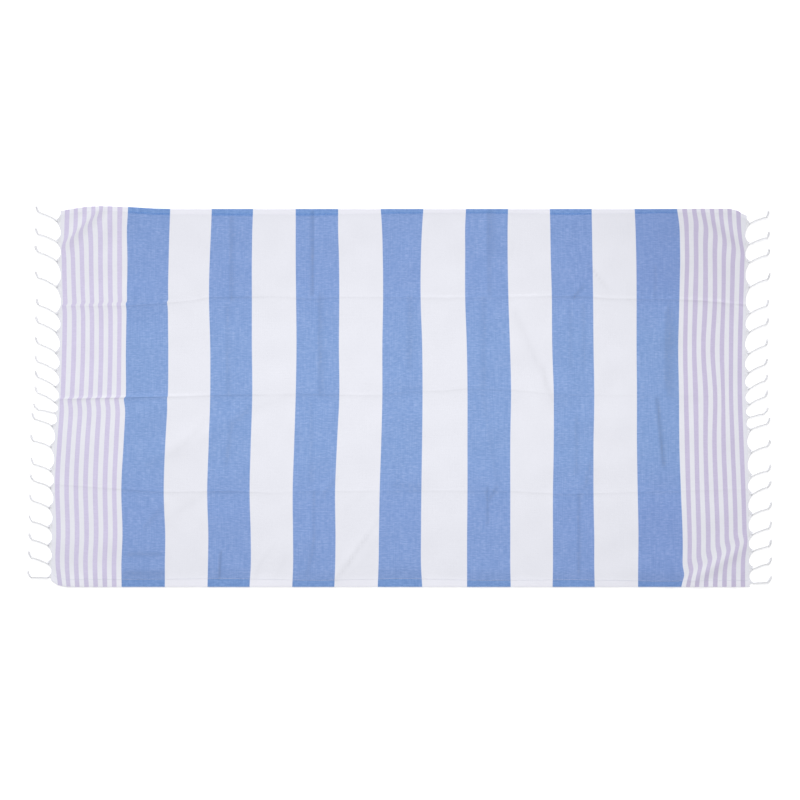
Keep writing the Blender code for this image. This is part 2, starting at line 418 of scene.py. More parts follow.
def soft_folds(x, y):
    """Round humps along short lines: height times e to minus the square of distance over reach."""
    lift = np.zeros_like(x)
    for x0, y0, x1, y1, height, reach in SOFT_FOLDS:
        run = np.array((x1 - x0, y1 - y0), float)
        share = ((x - x0) * run[0] + (y - y0) * run[1]) / (run @ run)
        nearest = np.clip(share, 0.0, 1.0)
        away = np.hypot(x - x0 - nearest * run[0], y - y0 - nearest * run[1])
        fades = np.sqrt(np.clip(4 * nearest * (1 - nearest), 0.0, 1.0))
        tall = height * (FOLD_END_HEIGHT + (1 - FOLD_END_HEIGHT) * fades)
        lift = np.maximum(lift, tall * np.exp(-((away / reach) ** 2)))
    return lift


def slack(x, y):
    """The slight unevenness of cloth that no one ironed: many low waves, each in its own direction."""
    heading = chance.uniform(0.0, np.pi, WAVES)
    length = chance.uniform(*WAVE_LENGTHS, WAVES)
    start = chance.uniform(0.0, 2 * np.pi, WAVES)
    lift = np.zeros_like(x)
    for turn, long, first in zip(heading, length, start):
        run = x * np.cos(turn) + y * np.sin(turn)
        lift += WAVE_HEIGHT * np.sin(2 * np.pi * run / long + first)
    return lift - lift.min()


# %% [markdown]
# ## Painted shade of the folds
#
# A fold is seen less by its height than by its dark line, the little shadow it throws on itself,
# and here that shadow is painted shade in the cloth's colour. The towel was folded across as well,
# in the middle of each blue stripe, and was creased a little more when it was spread. Each line of
# the table is one such painted shadow, sharp on one side and soft on the other. A negative depth is
# a painted highlight instead, where the top of a ridge catches the light, and the one very wide
# streak is painted shade over a corner that dips a little away from the light. The creases along
# the towel get painted shade too, each by its own amount in every stripe, and some get a painted
# highlight just above. All this is one number for each point.

# %% The painted shadows and highlights of the folds
STREAKS = (
    # from x, y, to x, y, depth of painted shade in percent, reach to the left or above, to the right
    # or below
    (-448, 470, -448, 262, 9, 4, 10),
    (-459, 240, -457, 10, 6, 4, 8),
    (-400, -33, -442, -72, 5, 6, 6),
    (-446, -72, -460, -180, 7, 6, 6),
    (-473, -410, -478, -478, 20, 2.5, 2.5),
    (-230, 485, -230, 272, 15, 8, 2.5),
    (-215, 262, -215, 14, 9, 3.5, 13),
    (-234, -15, -234, -225, 4, 6, 5),
    (-229, -252, -229, -400, 8, 4, 5),
    (-229, -392, -246, -466, 6, 6, 6),
    (24, 262, 24, 75, 5, 8, 9),
    (230, 485, 230, 384, 10, 3, 20),
    (231, 392, 231, 275, 7, 3, 12),
    (221, 258, 221, 28, 5.5, 10, 6),
    (215, 10, 255, -235, 3, 4, 11),
    (230, -240, 230, -338, 14, 4, 3.5),
    (217, -240, 233, -275, 4, 4, 4),
    (253, -240, 233, -275, 12, 5, 6),
    (448, 240, 448, 75, 4, 4, 7),
    (486, 240, 486, 75, 5, 9, 4),
    (465, -55, 465, -200, 7, 6, 5),
    (508, -136, 487, -243, 10, 3, 3),
    (470, -258, 470, -464, 10, 4, 6),
    (671, 340, 671, 262, 9, 5, 8),
    (703, 224, 703, 22, 12, 7, 22),
    (676, -8, 694, -180, 18, 5, 7),
    (302, 222, 347, 120, 3.5, 10, 9),
    (347, 120, 368, 70, 3.5, 8, 8),
    (376, 78, 384, 31, 7, 6, 6),
    (384, 31, 403, -6, 5, 6, 6),
    (-172, -485, -142, -444, 6, 7, 9),
    (-142, -444, -88, -368, 8, 7, 9),
    (-88, -368, -56, -326, 3.5, 8, 9),
    (-145, -300, -85, -245, 2, 12, 12),
    (-664, -180, -585, -138, 3, 10, 12),
    (-585, -138, -508, -64, 3.5, 10, 12),
    (-384, -33, -300, -4, 2, 10, 10),
    (-590, -305, -508, -252, 2.5, 10, 10),
    (-674, -344, -624, -289, 7, 6, 6),
    (-716, -416, -636, -416, 10, 4, 6),
    (-724, -468, -628, -468, 9, 8, 8),
    (-384, -484, -366, -432, 2.5, 6, 6),
    (-366, -432, -330, -388, 2, 6, 6),
    (-330, -478, -302, -425, 2, 6, 6),
    (-204, -262, -170, -216, 6, 6, 6),
    (495, 349, 547, 284, 8, 3, 3),
    (457, 262, 482, 290, 14, 4, 5),
    (2, 20, 56, 24, 3, 4, 4),
    (-12, -232, 52, -240, 6, 10, 8),
    (-787, 498, -892, 398, 2, 8, 8),
    (795, 490, 908, 400, 2, 8, 8),
    (762, -492, 907, -400, 3, 10, 10),
    # painted shade over the upper right corner, where the cloth dips away from the light
    (770, 480, 770, 400, 4.5, 190, 190),
    # painted highlights where a ridge top catches the light
    (833, 258, 870, 246, -5, 3, 3),
    (870, 246, 907, 231, -5, 3, 3),
)
CREASE_DEPTHS = (
    # across, then the depth of painted shade in each stripe: left end, seven blue with six white
    # between, right end
    (-251, 4, 9, 4, 8, 1, 4, 1, 4, 2, 6, 4, 6, 3, 4, 3),
    (3, 5, 8, 2, 10, 1, 10, 3, 3, 5, 4, 4, 2, 2, 4, 1),
    (254, 3, 6, 2, 11, 5, 6, 3, 4, 3, 2, 2, 12, 5, 5, 8),
)
CREST_LIGHTS = (
    # across, then how much painted highlight lies just above the crease, in the same stripes
    (-251, 0, 0, 0, 0, 1, 0, 0, 0, 0, 0, 0, 0, 0, 0, 1),
    (3, 2, 0, 3, 0, 0, 0, 2, 0, 0, 0, 1, 0, 0, 0, 0),
    (254, 0, 0, 0, 0, 0, 0, 0, 0, 4, 0, 6, 1, 4, 2, 6),
)
CREST_UP = 5.5
CREST_REACH = 3.5
DEPTH_REACH = 3.2


def dark_streaks(x, y):
    """Painted shade and painted highlights of the streaks: depth times e to minus the square of
    distance over reach, ends faded.
    """
    dark, light = np.zeros_like(x), np.zeros_like(x)
    for x0, y0, x1, y1, depth, before, after in STREAKS:
        run = np.array((x1 - x0, y1 - y0), float)
        length = np.hypot(*run)
        aside = np.array((-run[1], run[0])) / length
        aside *= -np.sign(aside[0] if abs(run[1]) > abs(run[0]) else aside[1])
        over = (x - x0) * aside[0] + (y - y0) * aside[1]
        share = ((x - x0) * run[0] + (y - y0) * run[1]) / length**2
        past = np.maximum(-share, share - 1.0).clip(0.0) * length
        reach = np.where(over > 0, before, after)
        near = np.exp(-((np.hypot(over, past) / reach) ** 2))
        dark = np.maximum(dark, depth / 100 * near)
        light = np.maximum(light, -depth / 100 * near)
    return dark - light


def crease_shade(along, across):
    """Painted shade of the three creases and the painted highlight above each, which change along the
    towel.
    """
    middles = WOVEN_MIDDLE + BLUE_PITCH / 2 * np.arange(-BLUE_STRIPES, BLUE_STRIPES + 1)
    shade = np.zeros((len(across), len(along)))
    for place, *depths in CREASE_DEPTHS:
        depth = np.interp(along, middles, np.array(depths) / 100)
        shade += np.exp(-np.abs(across - place) / DEPTH_REACH)[:, None] * depth
    for place, *lights in CREST_LIGHTS:
        light = np.interp(along, middles, np.array(lights) / 100)
        shade -= np.exp(-(((across - place - CREST_UP) / CREST_REACH) ** 2))[:, None] * light
    return shade


# %% [markdown]
# ## The hems
#
# Along each long side the cloth is turned under twice and stitched. Seen from above, that is a band
# a little thicker, with a rounded outer edge, a shallow groove where the stitches pull it down, and
# a low step where it ends. The section across a hem is two short tables, one of its outer edge and
# one of its seam. They are carried along the whole side, which is how a sewing machine makes it too.

# %% The section across a hem
CLOTH_THICKNESS = 1.5
EDGE_SECTION = (
    # in from the outer edge, underside, top
    (0.0, 0.5, 1.75),
    (0.25, 0.2, 1.87),
    (0.7, 0.0, 1.9),
    (3.5, 0.0, 1.9),
)
SEAM_SECTION = (
    # in from the seam, underside, top
    (-4.0, 0.0, 1.9),
    (-1.3, 0.0, 1.85),
    (0.0, 0.0, 1.8),
    (1.3, 0.0, 1.8),
    (3.0, 0.1, 1.7),
    (6.5, 0.0, CLOTH_THICKNESS),
)


def hem_section(width):
    """The section of one hem: how far in, underside and top, from the outer edge to past the seam."""
    seam = np.array(SEAM_SECTION) + (width, 0.0, 0.0)
    return np.concatenate((np.array(EDGE_SECTION), seam))


lower_hem = hem_section(LOWER_HEM)
upper_hem = hem_section(UPPER_HEM)
print("the hems are", LOWER_HEM, "and", UPPER_HEM, "mm wide")

# %% [markdown]
# ## The cloth
#
# The cloth is a closed sheet of two layers, top and underside, each a grid. The rows stand close
# together at the hems and the creases, where the shape changes quickly, and the columns in the
# middle of each blue stripe, where the towel was folded across. The underside follows the top at
# the cloth's own thickness, so a ridge is hollow below. The woven ends stand a little thicker,
# because the last weft threads are beaten up close against the gathered warp.

# %% Rows and columns of the cloth
ROW_STEP = 9.6
COLUMN_STEP = 6.9
FINE_COLUMNS = np.linspace(-23.0, 23.0, 18)
END_COLUMNS = np.array((0.0, 0.3, 4.0, 8.5))
ROWS_BESIDE_A_CREASE = np.array((1.2, 2.6, 4.4, 6.8, 10.0, 14.5))


def between(low, high, distance):
    """Even places between two others, at about that distance, without those two."""
    return np.linspace(low, high, round((high - low) / distance) + 1)[1:-1]


def filled(groups, distance):
    """The groups of close places, and even places in the gaps between them."""
    places = [groups[0]]
    for group in groups[1:]:
        places += [between(places[-1][-1], group[0], distance), group]
    return np.concatenate(places)


beside = ROWS_BESIDE_A_CREASE
creases = [fold + np.concatenate((-beside[::-1], [0.0], beside)) for fold in FOLDS]
across = [LOWER_EDGE + lower_hem[:, 0], *creases, UPPER_EDGE - upper_hem[::-1, 0]]
across = filled(across, ROW_STEP)
middles = WOVEN_MIDDLE + BLUE_PITCH * (np.arange(BLUE_STRIPES) - BLUE_STRIPES // 2)
along = [middle + FINE_COLUMNS for middle in middles]
left_end, right_end = LEFT_WOVEN_END + END_COLUMNS, RIGHT_WOVEN_END - END_COLUMNS[::-1]
along = filled([left_end, *along, right_end], COLUMN_STEP)
x, y = lay_out(along, across)
print(len(across), "rows and", len(along), "columns")

# %% The two layers of the cloth
END_FADE = 40.0
END_RELIEF = 0.45
WOVEN_END_THICKNESS = 1.1
END_TAPER = 16.0
SHADE_LIMITS = (-0.1, 0.26)


def layers(x, y, along, across):
    """The heights of the underside and of the top, hems, creases, folds and slack together."""
    from_end = np.minimum(along - along[0], along[-1] - along)
    flat = np.clip(from_end / END_FADE, 0.0, 1.0)
    relief = crease_ridges(along, across) + soft_folds(x, y)
    relief = relief * (END_RELIEF + (1 - END_RELIEF) * flat) + slack(x, y) * flat
    relief -= relief.min()
    taper = np.clip(from_end / END_TAPER, 0.0, 1.0)
    swell = WOVEN_END_THICKNESS + (1.0 - WOVEN_END_THICKNESS) * taper
    places = np.concatenate((LOWER_EDGE + lower_hem[:, 0], UPPER_EDGE - upper_hem[::-1, 0]))
    under = np.interp(across, places, np.concatenate((lower_hem[:, 1], upper_hem[::-1, 1])))
    top = np.interp(across, places, np.concatenate((lower_hem[:, 2], upper_hem[::-1, 2])))
    return relief + under[:, None], relief + under[:, None] + (top - under)[:, None] * swell


under, top = layers(x, y, along, across)
# painted shade of the folds and creases, with painted highlights below nothing, one number per point
painted_fold_shade = np.clip(dark_streaks(x, y) + crease_shade(along, across), *SHADE_LIMITS)
print("the cloth stands up to", round(float(top.max()), 1), "mm high")

# %% [markdown]
# The two grids are joined all round their rim by a wall one cloth thickness high. Two flat maps go
# with them. One is the weave itself, in metres along and across, so that the stripes follow every
# lean and pull of the threads. The other keeps the top, the underside and the wall apart, so that
# a painted picture of the cloth could be laid on it without overlaps.


# %% Close the cloth and map it
MAP_SIDES = (0.002, 0.998)
TOP_ON_MAP = (0.412, 0.997)
UNDERSIDE_ON_MAP = (0.003, 0.388)
WALL_ON_MAP = (0.396, 0.404)


def rim_of(rows, columns):
    """The grid's outer points, once round, anticlockwise."""
    number = np.arange(rows * columns).reshape(rows, columns)
    sides = (number[0, :-1], number[:-1, -1], number[-1, :0:-1], number[:0:-1, 0])
    return np.concatenate(sides)


def laid_on_map(share, band):
    """Places between nothing and one, stretched over the map's width and over one band of it."""
    start = np.array((MAP_SIDES[0], band[0]))
    return start + share * (np.array((MAP_SIDES[1], band[1])) - start)


def cloth_arrays():
    """Points, faces and maps of the closed sheet: top, underside and the wall between them."""
    rows, columns = x.shape
    upper = np.stack((x, y, top), axis=-1).reshape(-1, 3)
    lower = np.stack((x, y, under), axis=-1).reshape(-1, 3)
    quads = grid_quads(rows, columns)
    rim = rim_of(rows, columns)
    after = np.roll(rim, -1)
    wall = np.stack((rim + len(upper), after + len(upper), after, rim), axis=-1)
    faces = np.concatenate((quads, quads[:, ::-1] + len(upper), wall))
    woven = np.stack(np.broadcast_arrays(along, across[:, None]), axis=-1).reshape(-1, 2)
    woven = np.concatenate((woven, woven))
    share = (woven - woven.min(0)) / (woven.max(0) - woven.min(0))
    on_top, below = laid_on_map(share, TOP_ON_MAP), laid_on_map(share, UNDERSIDE_ON_MAP)
    apart = np.where(np.arange(len(woven))[:, None] < len(upper), on_top, below)[faces]
    round_rim = np.linspace(*MAP_SIDES, len(rim) + 1)
    first, last = round_rim[:-1], round_rim[1:]
    low, high = [np.full(len(rim), side) for side in WALL_ON_MAP]
    strip = ((first, low), (last, low), (last, high), (first, high))
    apart[-len(rim) :] = np.stack([np.stack(corner, -1) for corner in strip], axis=1)
    maps = {"woven": woven[faces] * MM, "OFBake": apart}
    return np.concatenate((upper, lower)), faces, maps


# %% [markdown]
# ## Shader sums in plain Python
#
# A material is a network of small sums. Written as nodes and links it is hard to read, so one small
# class stands for a socket: adding, multiplying and comparing two of them adds the Math node that
# does it. Every other kind of node comes from one method, which sets the node's settings first and
# then its inputs, each a plain value or a link.


# %% A socket that can be reckoned with
class Socket:
    """An output of a shader node. Sums on it are Math nodes in the same node tree."""

    def __init__(self, output):
        self.output = output

    @classmethod
    def node(cls, tree, kind, settings=None, inputs=None, output=0):
        """Add a node, set its settings, then give each input a value or a link."""
        made = tree.nodes.new(kind)
        for label, setting in (settings or {}).items():
            setattr(made, label, setting)
        for label, given in (inputs or {}).items():
            if isinstance(given, Socket):
                tree.links.new(given.output, made.inputs[label])
            else:
                made.inputs[label].default_value = given
        return cls(made.outputs[output])

    def math(self, operation, other=0.0, swapped=False, clamp=False):
        pair = (other, self) if swapped else (self, other)
        settings = {"operation": operation, "use_clamp": clamp}
        return self.node(self.output.id_data, "ShaderNodeMath", settings, dict(enumerate(pair)))

    def __add__(self, other):
        return self.math("ADD", other)

    def __sub__(self, other):
        return self.math("SUBTRACT", other)

    def __rsub__(self, other):
        return self.math("SUBTRACT", other, swapped=True)

    def __mul__(self, other):
        return self.math("MULTIPLY", other)

    def __abs__(self):
        return self.math("ABSOLUTE")

    def __mod__(self, other):
        return self.math("FLOORED_MODULO", other)

    def clamped(self):
        return self.math("ADD", 0.0, clamp=True)

    def below(self, limit, softness):
        """One where this is under the limit, nothing where it is over it, and soft between."""
        return ((limit - self) * (1.0 / softness)).math("ADD", 0.5, clamp=True)

    __radd__ = __add__
    __rmul__ = __mul__


def new_material(name):
    """An empty material that wears a Principled shader, its node tree and that shader."""
    material = bpy.data.materials.new(name)
    material.use_nodes = True
    tree = material.node_tree
    return material, tree, tree.nodes["Principled BSDF"]


# a Mix node's sockets share their names among colours and plain numbers, so these go by number
MIX_SHARE, MIX_FIRST, MIX_SECOND, MIXED = 0, 6, 7, 2


def mix(tree, share, first, second, how="MIX"):
    """Blend two colours by a share between nothing and one."""
    settings = {"data_type": "RGBA", "blend_type": how}
    inputs = {MIX_SHARE: share, MIX_FIRST: first, MIX_SECOND: second}
    return Socket.node(tree, "ShaderNodeMix", settings, inputs, MIXED)


def brighten(tree, colour, by):
    """Multiply a colour by a number."""
    settings = {"operation": "SCALE"}
    return Socket.node(tree, "ShaderNodeVectorMath", settings, {0: colour, "Scale": by})


def noise(tree, along, across, length, height, detail):
    """Uneven grey round nothing, in patches of about that length along and height across."""
    place = {"X": along * (1 / (length * MM)), "Y": across * (1 / (height * MM))}
    place = Socket.node(tree, "ShaderNodeCombineXYZ", None, place)
    inputs = {"Vector": place, "Scale": 1.0, "Detail": detail}
    return Socket.node(tree, "ShaderNodeTexNoise", {"noise_dimensions": "2D"}, inputs) - 0.5


def mesh_shade(tree):
    """The shade that the mesh carries at each point."""
    return Socket.node(tree, "ShaderNodeAttribute", {"attribute_name": "shade"}, output="Fac")


def set_plain(shader, values):
    """Set the inputs that are the same all over the surface."""
    for label, value in values.items():
        shader.inputs[label].default_value = value


def raise_bumps(tree, shader, height, distance, strength):
    """Let the light see small heights that the mesh doesn't have."""
    bump = {"Height": height, "Distance": distance, "Strength": strength}
    normal = Socket.node(tree, "ShaderNodeBump", None, bump)
    tree.links.new(normal.output, shader.inputs["Normal"])


# %% [markdown]
# ## The woven cotton
#
# The stripes are sums on the weave's own map. Near to, plain weave is a chequerboard of thread
# crossings: dyed weft passes over, then white warp. The blue is therefore never flat. It has small
# pale flecks where the warp shows, long thin dashes along the towel and ticks across it where one
# thread is thicker or paler than its neighbours, and faint clouds. In the hems, cloth lies on cloth
# and lets less of the white floor through, so the dye there is deeper, and it is darkest along the
# upper seam, where it is stitched. Just above the wide hem the weave is beaten closer, and a little
# darker. Towards the long sides, and most of all at the right end, the blue gets painted shade,
# darker where the light falls off. The lilac of the left end is paler than that of the right.

# %% The stripes as masks
EDGE_SOFTNESS = 0.7 * MM
SEAM_HALF = 1.9
CLOSE_WEAVE = 32.0
# where the painted shade of the light's falloff starts and is full, across and along, in mm, and how
# much of it the left end gets
FALLOFF_UP = (150.0, 300.0)
FALLOFF_RIGHT = (350.0, 680.0)
FALLOFF_AT_LEFT = 0.5


def from_to(value, start, full):
    """Nothing before the start, one past full, and even between, for a start and full in mm."""
    return ((value - start * MM) * (1.0 / ((full - start) * MM))).clamped()


def stripe_masks(along):
    """Where the weft is blue, and where it is lilac, from the distance along the towel."""
    from_middle = abs(along - WOVEN_MIDDLE * MM)
    pitch = BLUE_PITCH * MM
    in_pitch = abs((from_middle + pitch / 2) % pitch - pitch / 2)
    blue = in_pitch.below(BLUE_WIDTH / 2 * MM, EDGE_SOFTNESS)
    blue = blue * from_middle.below(BLUE_STRIPES / 2 * pitch, MM)
    pitch = LILAC_PITCH * MM
    past_first = from_middle - LILAC_FIRST * MM
    in_pitch = abs((past_first + pitch / 2) % pitch - pitch / 2)
    lilac = in_pitch.below(LILAC_WIDTH / 2 * MM, EDGE_SOFTNESS)
    lilac = lilac * (1.0 - past_first.below(-pitch / 2, MM))
    lilac = lilac * past_first.below((LILAC_STRIPES - 0.5) * pitch, MM)
    return blue, lilac


def hem_masks(across):
    """Where cloth lies on cloth, where it is stitched, and how close the weave is by the wide hem."""
    lower, upper = (LOWER_EDGE + LOWER_HEM) * MM, (UPPER_EDGE - UPPER_HEM) * MM
    doubled = across.below(lower, MM) + (1.0 - across.below(upper, MM))
    stitched = abs(across - upper).below(SEAM_HALF * MM, MM)
    close = (1.0 - (across - lower) * (1.0 / (CLOSE_WEAVE * MM))).clamped()
    return doubled, stitched, close


def falloff_shade_mask(along, across):
    """How much painted shade darkens the blue where the light falls off: more towards the long sides,
    and most of all at the right end.
    """
    right = from_to(along, *FALLOFF_RIGHT)
    return from_to(abs(across), *FALLOFF_UP) * (FALLOFF_AT_LEFT + (1 - FALLOFF_AT_LEFT) * right)


# %% The colours and the unevenness of the yarn
WHITE = (0.767, 0.773, 0.837, 1.0)
WHITE_HEM = (0.800, 0.802, 0.872, 1.0)
BLUE = (0.205, 0.332, 0.636, 1.0)
LEFT_LILAC = (0.614, 0.566, 0.751, 1.0)
RIGHT_LILAC = (0.569, 0.516, 0.697, 1.0)
LILAC_CHANGE = (-500.0, 500.0)
# how much red, green and blue are left: under the painted shade where the light falls off, in the
# hems, along the upper seam
FALLOFF_SHADE = (0.955, 0.925, 0.985, 1.0)
CROWDED = (0.81, 0.925, 0.975, 1.0)
UPPER_SEAM_DARKER = (0.62, 0.80, 0.94, 1.0)
UNEVEN_YARN = {
    # length along, height across, detail of the noise, how much it counts
    "flecks": (11.5, 3.4, 2.5, 0.33),
    "dashes": (60.0, 3.0, 1.0, 0.12),
    "ticks": (3.2, 60.0, 1.0, 0.14),
    "clouds": (40.0, 50.0, 2.0, 0.05),
}
THREAD = 0.95
CROSSING = 0.05
LILAC_DYE = 0.35
WARP_SHOWS = (0.035, 0.75)
WHITE_GRAIN = 0.06
DYED_GRAIN = 0.64
FOLD_SHADE_GRAIN = 1.6
CLOSE_SHADE = 0.1
CLOSE_IN_HEM = 0.5
CLOSE_LILAC = 0.7
WEAVE_BUMP = (0.18 * MM, 0.6)
COTTON = {
    "Roughness": 0.92,
    "Specular IOR Level": 0.25,
    "Sheen Weight": 0.08,
    "Sheen Roughness": 0.6,
}


# %% The cotton material
def make_striped_cotton():
    """Stripes, pale flecks where the warp shows, uneven yarn, deeper hems and a woven bump."""
    material, tree, shader = new_material("striped_cotton")
    woven = Socket.node(tree, "ShaderNodeUVMap", {"uv_map": "woven"})
    along = Socket.node(tree, "ShaderNodeSeparateXYZ", None, {"Vector": woven})
    across = Socket(along.output.node.outputs["Y"])
    blue, lilac = stripe_masks(along)
    doubled, stitched, close = hem_masks(across)
    dyed = (blue + lilac * LILAC_DYE).clamped()

    weft = (along * (np.pi / (THREAD * MM))).math("SINE")
    warp = (across * (np.pi / (THREAD * MM))).math("SINE")
    crossing = weft * warp
    uneven, yarn = {}, crossing * CROSSING
    for kind, (length, height, detail, counts) in UNEVEN_YARN.items():
        uneven[kind] = noise(tree, along, across, length, height, detail)
        yarn = yarn + uneven[kind] * counts

    white = mix(tree, doubled, WHITE, WHITE_HEM)
    lilacs = mix(tree, from_to(along, *LILAC_CHANGE), LEFT_LILAC, RIGHT_LILAC)
    colour = mix(tree, lilac, mix(tree, blue, white, BLUE), lilacs)
    always, now_and_then = WARP_SHOWS
    colour = mix(tree, (yarn * now_and_then + always) * dyed, colour, WHITE)
    # painted shade: the blue darker where the light falls off, towards the long sides and the right
    # end
    colour = mix(tree, falloff_shade_mask(along, across) * blue, colour, FALLOFF_SHADE, "MULTIPLY")
    colour = mix(tree, doubled * blue, colour, CROWDED, "MULTIPLY")
    # the blue is darker along the upper seam, where it is stitched
    colour = mix(tree, stitched * blue, colour, UPPER_SEAM_DARKER, "MULTIPLY")
    # painted shade and highlights of the folds, carried by the mesh and roughened by the yarn's grain
    painted_fold_shade = mesh_shade(tree) * (1.0 + (uneven["flecks"] + uneven["ticks"]) * FOLD_SHADE_GRAIN)
    close = close * (1.0 - doubled * CLOSE_IN_HEM) * (blue + lilac * CLOSE_LILAC)
    shade = painted_fold_shade + close * CLOSE_SHADE
    colour = brighten(tree, colour, 1.0 + yarn * (WHITE_GRAIN + DYED_GRAIN * dyed) - shade)
    tree.links.new(colour.output, shader.inputs["Base Color"])
    raised = abs(crossing) + uneven["flecks"] + uneven["dashes"] + uneven["ticks"]
    raise_bumps(tree, shader, raised, *WEAVE_BUMP)
    set_plain(shader, COTTON)
    return material


striped_cotton = make_striped_cotton()
# the painted fold shade on the top layer, none on the underside
shade = np.concatenate((painted_fold_shade.ravel(), np.zeros(painted_fold_shade.size)))
cloth = make_piece("striped_cloth", *cloth_arrays(), striped_cotton, shade)

# %% [markdown]
# ## Strands
#
# Stitches, gathered warp, cords and tufts are all strands: a small round section carried along a
# path. One helper does them all at once. It takes many paths of the same number of points, works
# out the direction at every point, sets a ring of corners square to it, and closes both ends. A
# strand of a cord winds, so the ring's own directions come from the strand, not from the axes.


# %% Carry a round section along many paths
CELL_MARGIN = 0.06
LID_ON_MAP = 0.02


def strands(paths, radius, sides):
    """Closed tubes round paths (strands, points, 3), of a radius for each strand and point.

    It returns the points, the faces, and each face corner's place on a map that gives every strand
    a cell of its own, along it and round it.
    """
    count, rings = paths.shape[:2]
    radius = np.broadcast_to(radius, (count, rings))[..., None, None]
    run = np.gradient(paths, axis=1)
    run /= np.linalg.norm(run, axis=-1, keepdims=True)
    side = np.cross(run, (0.0, 0.0, 1.0))
    side /= np.linalg.norm(side, axis=-1, keepdims=True)
    over = np.cross(side, run)
    turn = np.arange(sides) * 2 * np.pi / sides
    ring = side[:, :, None] * np.cos(turn)[:, None] + over[:, :, None] * np.sin(turn)[:, None]
    points = paths[:, :, None] + radius * ring

    number = np.arange(rings * sides).reshape(rings, sides)
    turned = np.roll(number, -1, axis=1)
    skin = np.stack((number[:-1], turned[:-1], turned[1:], number[1:]), axis=-1).reshape(-1, 4)
    lid = [(i, i + 1, sides - 2 - i, sides - 1 - i) for i in range(sides // 2 - 1)]
    lid = np.array(lid)
    faces = np.concatenate((skin, lid[:, ::-1], lid + number[-1, 0]))

    along, around = np.meshgrid(np.arange(rings - 1), np.arange(sides), indexing="ij")
    corner = np.array(((0, 0), (0, 1), (1, 1), (1, 0)))
    cell = np.stack((along, around), axis=-1).reshape(-1, 1, 2) + corner
    cell = cell / (rings - 1.0, sides)
    lids = np.broadcast_to(corner * LID_ON_MAP, (2 * len(lid), 4, 2))
    cell = CELL_MARGIN + (1 - 2 * CELL_MARGIN) * np.concatenate((cell, lids))
    wide = int(np.ceil(np.sqrt(count)))
    strand = np.arange(count)
    place = np.stack((strand % wide, strand // wide), axis=-1)[:, None, None]
    faces = faces + (strand * rings * sides)[:, None, None]
    return points.reshape(-1, 3), faces.reshape(-1, 4), ((cell + place) / wide).reshape(-1, 4, 2)


# %% [markdown]
# ## The stitches of the hems
#
# A lockstitch shows as a row of short thread stitches, each sinking into the cloth at both ends. One
# stitch is a strand along a low arch. The row is that stitch repeated at an even pitch along the
# groove of the hem, at the height of the cloth there. The upper row was sewn tighter, so its thread
# is drawn thin and sinks in.

# %% Two rows of stitches
STITCH_PITCH = 3.6
STITCH_LENGTH = 2.9
STITCH_RADIUS = 0.26
TIGHT_STITCH_RADIUS = 0.1
STITCH_ARCH = (1.6, 8.0)
STITCH_RINGS = 5
STITCH_SIDES = 6
SEAM_START = 6.0


def stitch_row(place, radius):
    """The paths of the stitches that follow the cloth's grid at one place across the weave.

    A stitch stands highest in its middle, and its ends dip into the cloth with the square of the
    distance from there.
    """
    row = int(np.abs(across - place).argmin())
    first, last = x[row, 0] + SEAM_START, x[row, -1] - SEAM_START
    middles = np.arange(first, last, STITCH_PITCH) + STITCH_PITCH / 2
    share = np.linspace(-0.5, 0.5, STITCH_RINGS)
    places = middles[:, None] + share * STITCH_LENGTH
    highest, dip = STITCH_ARCH
    arch = radius * (highest - dip * share * share)
    beside = np.interp(places, x[row], y[row])
    height = np.interp(places, x[row], top[row])
    return np.stack((places, beside, height + arch), axis=-1)


lower_stitches = stitch_row(LOWER_EDGE + LOWER_HEM, STITCH_RADIUS)
upper_stitches = stitch_row(UPPER_EDGE - UPPER_HEM, TIGHT_STITCH_RADIUS)
print(len(lower_stitches), "and", len(upper_stitches), "stitches")

# %% [markdown]
# ## Thread and fringe cotton
#
# The fringe is the same white warp as the cloth's, without its weft. It is matt and a little uneven,
# and it carries painted shade: greyer where threads crowd together and on the lower side of a
# strand. That painted shade is an attribute of the mesh, one number for each corner of each ring.
# It is set where the shape is made, and the material only has to read it.


# %% The yarn material
FIBRES_PER_METRE = 900.0
FIBRE_DETAIL = 2.0
FIBRE_TONE = (0.97, 0.06)
FIBRE_BUMP = (0.2 * MM, 0.4)
YARN = {"Roughness": 0.9, "Specular IOR Level": 0.25}
FRINGE_WHITE, FRINGE_GREY = (0.92, 0.92, 0.93, 1.0), (0.42, 0.44, 0.56, 1.0)
THREAD_WHITE, THREAD_GREY = (0.70, 0.72, 0.80, 1.0), (0.60, 0.62, 0.70, 1.0)


def make_yarn(name, colour, shade_colour):
    """White cotton yarn that goes greyer with the mesh's own shade, with a bump of fine fibres."""
    material, tree, shader = new_material(name)
    place = Socket.node(tree, "ShaderNodeTexCoord", output="Object")
    inputs = {"Vector": place, "Scale": FIBRES_PER_METRE, "Detail": FIBRE_DETAIL}
    fibres = Socket.node(tree, "ShaderNodeTexNoise", None, inputs)
    darkest, varies = FIBRE_TONE
    tone = brighten(tree, mix(tree, mesh_shade(tree), colour, shade_colour), darkest + fibres * varies)
    tree.links.new(tone.output, shader.inputs["Base Color"])
    raise_bumps(tree, shader, fibres, *FIBRE_BUMP)
    set_plain(shader, YARN)
    return material


fringe_cotton = make_yarn("fringe_cotton", FRINGE_WHITE, FRINGE_GREY)
thread_cotton = make_yarn("thread_cotton", THREAD_WHITE, THREAD_GREY)


